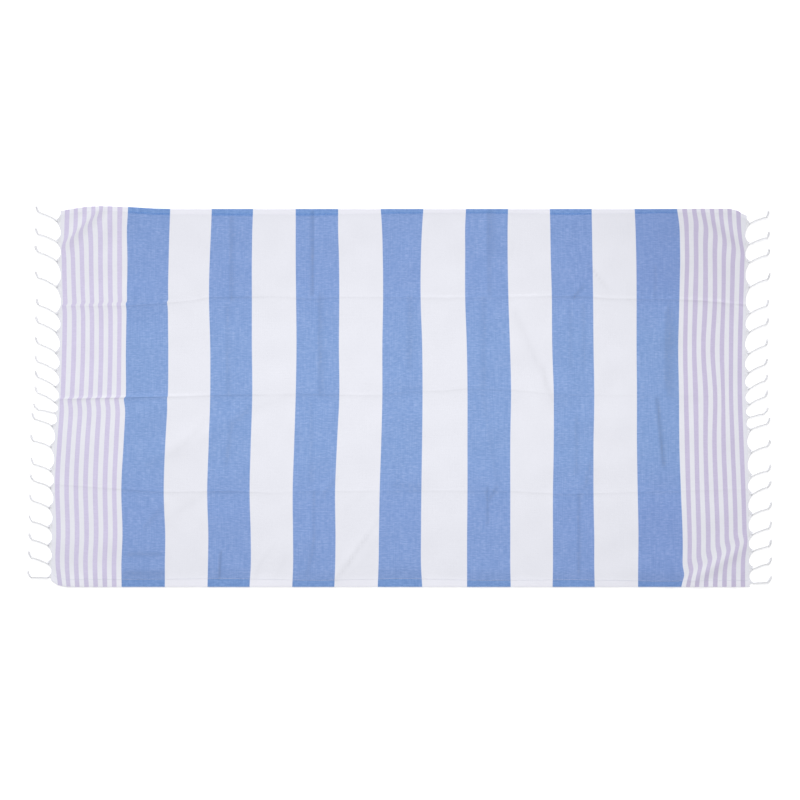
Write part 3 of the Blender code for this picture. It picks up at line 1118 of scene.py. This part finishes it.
def strand_piece(name, groups, material):
    """Join groups of strands, each with its shade per corner, into one mesh with its own map."""
    points, faces, cells, shades = [], [], [], []
    for order, (paths, radius, sides, shade) in enumerate(groups):
        made, quads, cell = strands(paths, radius, sides)
        faces.append(quads + sum(len(group) for group in points))
        points.append(made)
        cells.append((cell + (order, 0.0)) / (len(groups), 1.0))
        shades.append(np.broadcast_to(shade, (*paths.shape[:2], sides)).ravel())
    maps = {"OFBake": np.concatenate(cells)}
    shade = np.concatenate(shades)
    return make_piece(name, np.concatenate(points), np.concatenate(faces), maps, material, shade)


LOWER_SEAM_SHADE = 0.6
UPPER_SEAM_SHADE = 0.0
seams = [
    (lower_stitches, STITCH_RADIUS, STITCH_SIDES, LOWER_SEAM_SHADE),
    (upper_stitches, TIGHT_STITCH_RADIUS, STITCH_SIDES, UPPER_SEAM_SHADE),
]
stitches = strand_piece("hem_stitches", seams, thread_cotton)

# %% [markdown]
# ## The fringe: where each tassel grows
#
# At each end the warp goes on past the last weft. It is gathered into twenty bundles at uneven
# spacing. Each bundle is twisted into a cord that drifts up the picture, is knotted, and ends in
# a short loose tuft that turns up. The table gives, for each tassel, where it leaves the cloth, how
# far its cord climbs and reaches, how far its tuft leans on, and how deep its scallop is, as a share
# of the usual. Two bundles of each end took fewer threads, and their scallops are shallow.

# %% The tassels of both ends
TASSELS = {
    "left": (
        # root, rise, reach, lean, depth of the scallop
        (460, 27, 54, 7, 1.0),
        (406, 23, 56, 6, 1.0),
        (354, 28, 55, 8, 1.0),
        (286, 28, 55, 7, 1.0),
        (214, 28, 53, 7, 1.0),
        (166, 30, 53, 7, 1.0),
        (112, 29, 52, 7, 1.0),
        (65, 28, 53, 7, 1.0),
        (22, 30, 52, 7, 1.0),
        (-18, 29, 51, 7, 1.0),
        (-44, 10, 47, 12, 0.45),
        (-80, 22, 52, 7, 1.0),
        (-134, 18, 51, 7, 1.0),
        (-198, 21, 50, 7, 1.0),
        (-243, 23, 50, 8, 1.0),
        (-296, 22, 49, 8, 1.0),
        (-347, 18, 48, 8, 1.0),
        (-395, 19, 49, 7, 1.0),
        (-443, 19, 49, 7, 1.0),
        (-477, 1, 49, 9, 0.45),
    ),
    "right": (
        (454, 21, 51, 5, 1.0),
        (400, 20, 54, 5, 1.0),
        (352, 22, 53, 6, 1.0),
        (287, 23, 53, 6, 1.0),
        (216, 24, 50, 5, 1.0),
        (167, 25, 51, 5, 1.0),
        (110, 26, 50, 5, 1.0),
        (60, 25, 47, 7, 1.0),
        (17, 26, 48, 6, 1.0),
        (-24, 25, 47, 6, 1.0),
        (-55, 10, 42, 11, 0.45),
        (-89, 18, 49, 7, 1.0),
        (-149, 19, 48, 8, 1.0),
        (-212, 17, 48, 8, 1.0),
        (-261, 23, 47, 8, 1.0),
        (-314, 20, 49, 7, 1.0),
        (-366, 20, 49, 6, 1.0),
        (-410, 17, 49, 5, 1.0),
        (-456, 16, 47, 6, 1.0),
        (-492, 3, 44, 9, 0.45),
    ),
}
COLUMNS = ("root", "rise", "reach", "lean", "depth")
LAST_WEFT = {"left": 0, "right": -1}
OUTWARDS = {"left": -1.0, "right": 1.0}
BAND_DEPTH = 3.0


def tassels(side, *columns):
    """The named columns of one end's table, each as an array of twenty."""
    table = np.array(TASSELS[side], float)
    return [table[:, COLUMNS.index(column)] for column in columns]


def woven_end(side, height, what=x):
    """Where the last weft thread lies, or how high, at some heights across the towel."""
    column = LAST_WEFT[side]
    return np.interp(height, y[:, column], what[:, column])


# %% [markdown]
# The gathered warp is what makes the scalloped edge. Every thread starts hidden inside the cloth,
# just under its top, leaves it square to the edge and curves to the tip of its own bundle. It is a
# path with one control point that stays close to the edge, so the threads furthest from the tassel
# run along the edge first, and their outline is hollow.

# %% The gathered warp
WARP_PITCH = 0.9
WARP_RADIUS = 0.55
WARP_RINGS = 7
WARP_SIDES = 4
WARP_MARGINS = (4.0, 3.0)
HIDDEN_START = 2.0
WARP_UNEVEN = 0.3
APEX_OUT = 10.2
APEX_UP = 5.5
APEX_RISE = 0.26
APEX_HALF_WIDTH = 0.9
APEX_FAN = 12.0
BEND_OUT = 0.9
BEND_UP = 1.5
BEND_FAN = 0.36
BEND_UNEVEN = 0.4
LOW_LIFT = (0.6, 1.0)
APEX_LIFT = (0.9, 2.2)


def gathered_warp(side):
    """Paths from the woven end to the tip of the nearest bundle, curved as a thread under pull.

    A path is start, bend and tip, weighted by (1 - t) squared, 2 t (1 - t) and t squared.
    """
    root, rise, depth = tassels(side, "root", "rise", "depth")
    first, last = y[(0, -1), LAST_WEFT[side]] + (WARP_MARGINS[0], -WARP_MARGINS[1])
    starts = np.arange(first, last, WARP_PITCH)
    starts = starts + chance.uniform(-WARP_UNEVEN, WARP_UNEVEN, len(starts))
    owner = np.abs(starts[:, None] - root).argmin(axis=1)
    fans = starts - root[owner]
    foot = woven_end(side, starts)
    outwards = OUTWARDS[side]
    apex_x = woven_end(side, root[owner]) + outwards * (BAND_DEPTH + APEX_OUT * depth[owner])
    apex_y = root[owner] + np.minimum(APEX_UP, rise[owner] * APEX_RISE)
    apex_y = apex_y + APEX_HALF_WIDTH * np.tanh(fans / APEX_FAN)
    uneven = chance.uniform(-BEND_UNEVEN, BEND_UNEVEN, len(starts))
    bend_x = foot + outwards * (BAND_DEPTH * BEND_OUT + uneven)
    bend_y = root[owner] + fans * BEND_FAN + BEND_UP
    share = np.linspace(0.0, 1.0, WARP_RINGS)[:, None]
    before, middle, after = (1 - share) ** 2, 2 * share * (1 - share), share**2
    low, high = [chance.uniform(*lift, len(starts)) for lift in (LOW_LIFT, APEX_LIFT)]
    places = before * (foot - outwards * HIDDEN_START) + middle * bend_x + after * apex_x
    heights = before * starts + middle * bend_y + after * apex_y
    lift = before * (woven_end(side, starts, top) - WARP_RADIUS) + middle * low + after * high
    return np.stack((places, heights, lift), axis=-1).transpose(1, 0, 2)


# %% [markdown]
# A cord is two plies wound round each other. Its middle line climbs out from the cloth in a slight
# bow, and each ply circles that line once every few millimetres, half a turn from the other. The
# knot is a strand that follows the simplest knot there is, the trefoil, made small and flat.

# %% The twisted cords
CORD_RINGS = 72
CORD_START = 0.10
CORD_BOW = 0.11
CORD_WANDER = 0.5
PLY_RADIUS = 1.35
PLY_OFFSET = 1.15
PLY_SIDES = 8
TWIST_LENGTH = 9.0
CORD_HEIGHT = 2.6


def cord_middles(side):
    """The middle line of each cord: it climbs as it goes out, bowed up by a half sine."""
    root, rise, reach = [column[:, None] for column in tassels(side, "root", "rise", "reach")]
    share = np.linspace(CORD_START, 1.0, CORD_RINGS)
    wander = chance.normal(0.0, CORD_WANDER, (len(root), 1))
    climb = share + CORD_BOW * np.sin(np.pi * share)
    height = root + rise * climb + wander * np.sin(2 * np.pi * share)
    out = woven_end(side, root) + OUTWARDS[side] * (BAND_DEPTH + share * reach)
    return np.stack(np.broadcast_arrays(out, height, np.full(CORD_RINGS, CORD_HEIGHT)), axis=-1)


def wind(middles, offset, turn_length):
    """Two plies round each middle line, on a circle of that offset, half a turn apart."""
    run = np.gradient(middles, axis=1)
    length = np.linalg.norm(run, axis=-1, keepdims=True)
    run = run / length
    side = np.cross(run, (0.0, 0.0, 1.0))
    over = np.cross(side, run)
    turn = 2 * np.pi * np.cumsum(length, axis=1) / turn_length
    turn = turn + chance.uniform(0.0, 2 * np.pi, (len(middles), 1, 1))
    plies = []
    for start in (0.0, np.pi):
        circle = side * np.cos(turn + start) + over * np.sin(turn + start)
        plies.append(middles + offset * circle)
    return np.concatenate(plies)


# %% Knots and tufts
KNOT_RINGS = 40
KNOT_SIZE = (0.70, 0.80, 0.9)
KNOT_RADIUS = 1.0
KNOT_SIDES = 6
TUFT_STRANDS = 32
TUFT_RINGS = 7
TUFT_SIDES = 4
TUFT_LENGTH = 18.0
TUFT_UNEVEN = (0.75, 1.04)
TUFT_SPREAD = 3.6
TUFT_AT_KNOT = 0.8
TUFT_FLATNESS = 0.75
TUFT_CLEARANCE = 0.6
TUFT_RADII = np.linspace(0.6875, 0.3025, TUFT_RINGS)


def knots(ends):
    """A small trefoil at each cord's end: sin t + 2 sin 2t, cos t - 2 cos 2t, and sin 3t up."""
    t = np.linspace(0.0, 2 * np.pi, KNOT_RINGS)
    loop = (np.sin(t) + 2 * np.sin(2 * t), np.cos(t) - 2 * np.cos(2 * t), np.sin(3 * t))
    loop = np.stack(loop, axis=-1) * KNOT_SIZE
    return ends[:, None] + loop


def tufts(side, ends):
    """Loose threads from each knot, which turn up and lean outwards and fan out a little."""
    (lean,) = tassels(side, "lean")
    count = (len(ends), TUFT_STRANDS, 1)
    share = np.linspace(0.0, 1.0, TUFT_RINGS)
    turn = chance.uniform(0.0, 2 * np.pi, count)
    apart = np.sqrt(chance.uniform(0.0, 1.0, count)) * TUFT_SPREAD
    length = TUFT_LENGTH * chance.uniform(*TUFT_UNEVEN, count)
    fans = apart * (TUFT_AT_KNOT + (1 - TUFT_AT_KNOT) * share)
    leans = lean[:, None, None] * (1 - (1 - share) ** 2)
    out = OUTWARDS[side] * leans + np.cos(turn) * fans
    up = length * share
    flat = TUFT_FLATNESS * (CORD_HEIGHT - TUFT_CLEARANCE)
    high = np.sin(turn) * fans / TUFT_SPREAD * flat
    paths = np.stack(np.broadcast_arrays(out, up, high), axis=-1) + ends[:, None, None]
    return paths.reshape(-1, TUFT_RINGS, 3)


# %% [markdown]
# The undersides of the strands lie near the floor and see less of the light. A floor that glows hides
# that, and a white cord on a white floor would vanish when it is seen from low down, so their lower
# sides get painted shade. Along a strand the painted shade follows how crowded its threads are: most
# where a tuft leaves its knot, least at its loose ends.

# %% Put the fringes together
# painted shade where threads crowd: across the gathered warp, at the start of each cord, and in the
# tufts by their knots
WARP_SHADE = np.linspace(0.21, 0.28, WARP_RINGS)[:, None]
CORD_SHADE = 0.05
CORD_START_SHADE = 0.07
CORD_START_RINGS = 6.3
TUFT_SHADE = np.linspace(0.26, 0.03, TUFT_RINGS)[:, None]
UNDER_SHADE = 0.9
UNDER_FROM = 0.4
TUFT_UNDER = 0.25


def under(sides):
    """Painted shade round a section: none on its upper side, more the further a corner lies below."""
    turn = np.arange(sides) * 2 * np.pi / sides
    return UNDER_SHADE * np.clip(UNDER_FROM - np.sin(turn), 0.0, 1.0)


ply_shade = CORD_START_SHADE * np.clip(1.0 - np.arange(CORD_RINGS) / CORD_START_RINGS, 0.0, 1.0)
ply_shade = CORD_SHADE + ply_shade[:, None] + under(PLY_SIDES)
knot_shade = CORD_SHADE + under(KNOT_SIDES)
tuft_shade = TUFT_SHADE + TUFT_UNDER * under(TUFT_SIDES)
fringes = []
for side in ("left", "right"):
    warp_paths = gathered_warp(side)
    middles = cord_middles(side)
    plies = wind(middles, PLY_OFFSET, TWIST_LENGTH)
    ends = middles[:, -1]
    groups = [
        (warp_paths, WARP_RADIUS, WARP_SIDES, WARP_SHADE),
        (plies, PLY_RADIUS, PLY_SIDES, ply_shade),
        (knots(ends), KNOT_RADIUS, KNOT_SIDES, knot_shade),
        (tufts(side, ends), TUFT_RADII, TUFT_SIDES, tuft_shade),
    ]
    fringes.append(strand_piece(f"warp_fringe_{side}", groups, fringe_cotton))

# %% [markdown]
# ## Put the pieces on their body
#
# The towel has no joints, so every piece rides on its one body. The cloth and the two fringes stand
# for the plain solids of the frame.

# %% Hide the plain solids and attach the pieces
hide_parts("cloth")
for side, fringe in zip(("left", "right"), fringes):
    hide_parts(f"fringe_{side}")
for piece in [cloth, stitches, *fringes]:
    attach(piece, "root")

# %% [markdown]
# ## Floor, light and camera
#
# The towel is seen straight from above, on a floor that is lit so brightly that it turns pure white,
# as product photographers do to lose all shadows. Here the floor simply glows a little. The rest of
# the light is even and comes from all round. A wide box over the middle makes the corners a little
# darker, and a low, wide sun from beyond the upper hem adds the slant that shows the creases.

# %% The floor
FLOOR_SIZE = 200.0
FLOOR_DROP = 0.0006
FLOOR = {
    "Base Color": (0.96, 0.96, 0.96, 1.0),
    "Roughness": 1.0,
    "Specular IOR Level": 0.0,
    "Emission Color": (1.0, 1.0, 1.0, 1.0),
    "Emission Strength": 0.3,
}
floor_mesh = bpy.data.meshes.new("pale_floor")
half = FLOOR_SIZE / 2
corners = [(-half, -half), (half, -half), (half, half), (-half, half)]
floor_mesh.from_pydata([(u, v, -FLOOR_DROP) for u, v in corners], [], [(0, 1, 2, 3)])
floor = bpy.data.objects.new("pale_floor", floor_mesh)
bpy.context.scene.collection.objects.link(floor)
floor_paint, _, floor_shader = new_material("pale_floor")
set_plain(floor_shader, FLOOR)
floor_mesh.materials.append(floor_paint)
floor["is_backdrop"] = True

# %% The light
SKY = {"Color": (1.0, 1.0, 1.0, 1.0), "Strength": 0.455}
SUN_LIGHT = 2.2
SUN_ANGLE = np.radians(35.0)
SUN_TILT = np.radians(60.0)
SUN_TURN = np.radians(12.0)
BOX_LIGHT = 8.2
BOX_SIZE = (2.6, 0.6)
BOX_PLACE = (-0.16, 0.06, 1.3)


def add_light(name, kind, power):
    """A light object of that kind and power."""
    light = bpy.data.objects.new(name, bpy.data.lights.new(name, kind))
    light.data.energy = power
    bpy.context.scene.collection.objects.link(light)
    return light


world = bpy.data.worlds.new("even_light")
world.use_nodes = True
set_plain(world.node_tree.nodes["Background"], SKY)
bpy.context.scene.world = world
sun = add_light("low_sun", "SUN", SUN_LIGHT)
sun.data.angle = SUN_ANGLE
sun.rotation_euler = (-SUN_TILT, 0.0, SUN_TURN)
box = add_light("light_box", "AREA", BOX_LIGHT)
box.data.shape = "RECTANGLE"
box.data.size, box.data.size_y = BOX_SIZE
box.location = BOX_PLACE
bpy.context.scene.view_settings.view_transform = "Standard"

# %% The camera
PICTURE_WIDTH = 2.112
PICTURE_MIDDLE = (-0.0011, -0.0090)
LENS = 85.0
SENSOR = 36.0
camera = bpy.data.objects.new("camera", bpy.data.cameras.new("camera"))
camera.data.lens = LENS
camera.data.sensor_width = SENSOR
camera.location = (*PICTURE_MIDDLE, PICTURE_WIDTH * LENS / SENSOR)
bpy.context.scene.collection.objects.link(camera)
bpy.context.scene.camera = camera
print("the camera is", round(camera.location.z, 2), "m above the towel")

# %% Write the sizes down and finish
for label, (low, high) in {"cad": cad_box, "visual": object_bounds()}.items():
    print(label, [round(side, 4) for side in high - low])
